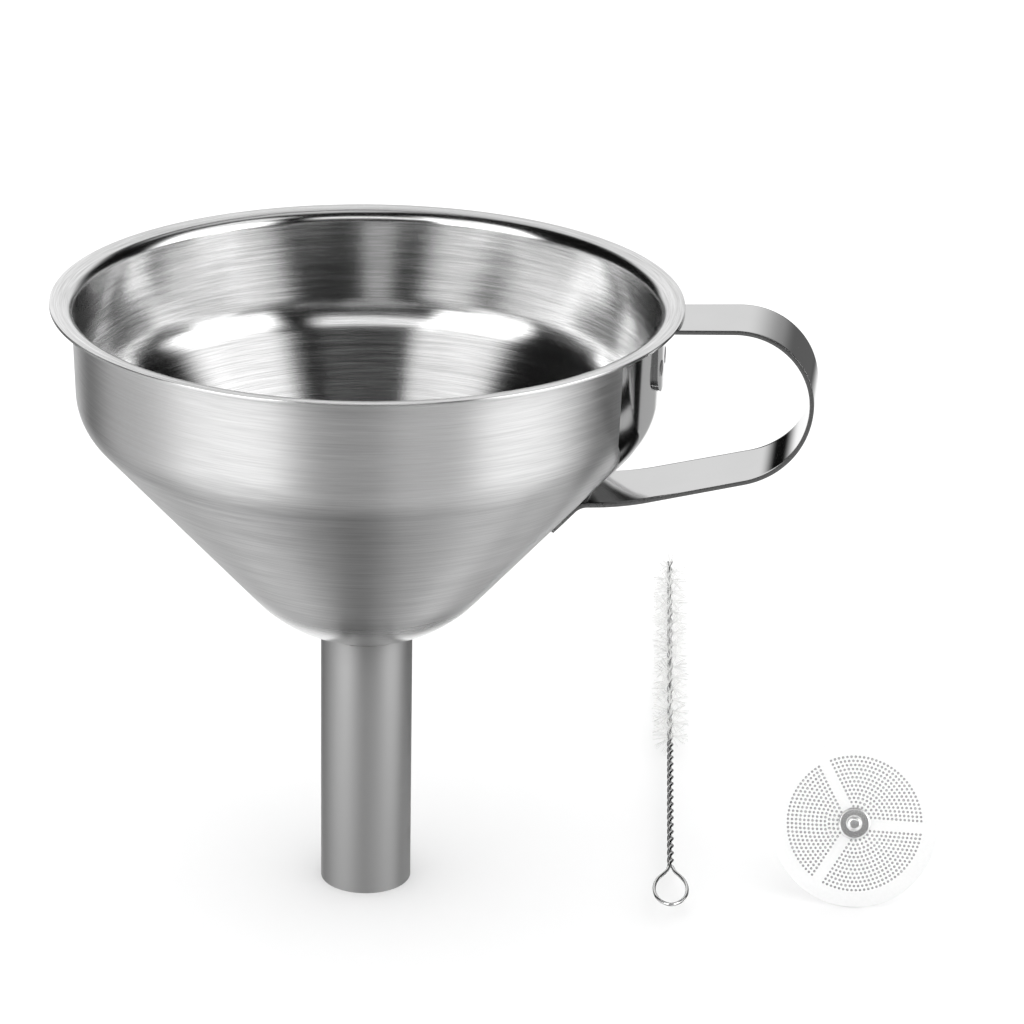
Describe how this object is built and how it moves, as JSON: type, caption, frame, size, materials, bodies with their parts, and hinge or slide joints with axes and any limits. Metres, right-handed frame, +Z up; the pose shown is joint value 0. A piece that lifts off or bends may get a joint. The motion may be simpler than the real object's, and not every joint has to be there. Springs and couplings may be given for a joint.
{
  "type": "canning funnel",
  "caption": "Steel funnel with a tipped lip, straight collar, steep cone, tube spout and strap handle, with a perforated strainer disc and a twisted-wire cleaning brush.",
  "frame": {"origin": "centre of the spout's mouth, on the surface the funnel stands on", "axes": "+Z up the funnel's axis towards the rim, +X towards the handle"},
  "size_m": [0.188, 0.2508, 0.1326],
  "materials": {
    "brushed_steel": "stainless sheet, brushed round the bowl",
    "satin_steel": "stainless tube, satin",
    "polished_steel": "stainless strap, mirror polished",
    "weld_steel": "dressed weld metal",
    "strainer_steel": "stainless sheet, bright satin",
    "wire_steel": "drawn stainless wire",
    "nylon": "white nylon filament"
  },
  "bodies": {
    "funnel": {"funnel_bowl": "brushed_steel", "spout_tube": "satin_steel", "spout_weld_bead": "weld_steel", "handle_strap": "polished_steel", "spot_weld_upper_left": "weld_steel", "spot_weld_upper_right": "weld_steel", "spot_weld_foot_left": "weld_steel", "spot_weld_foot_right": "weld_steel"},
    "strainer": {"strainer_plate": "strainer_steel", "strainer_washer": "strainer_steel", "strainer_knob": "strainer_steel"},
    "brush": {"brush_wire": "wire_steel", "brush_bristles": "nylon"}
  },
  "joints": [
    {"name": "strainer_lift", "type": "slide", "parent": "funnel", "child": "strainer", "axis": [0, 0, 1], "range_m": [0, 0.05]},
    {"name": "brush_lift", "type": "slide", "parent": "funnel", "child": "brush", "axis": [0, 0, 1], "range_m": [0, 0.04]}
  ]
}
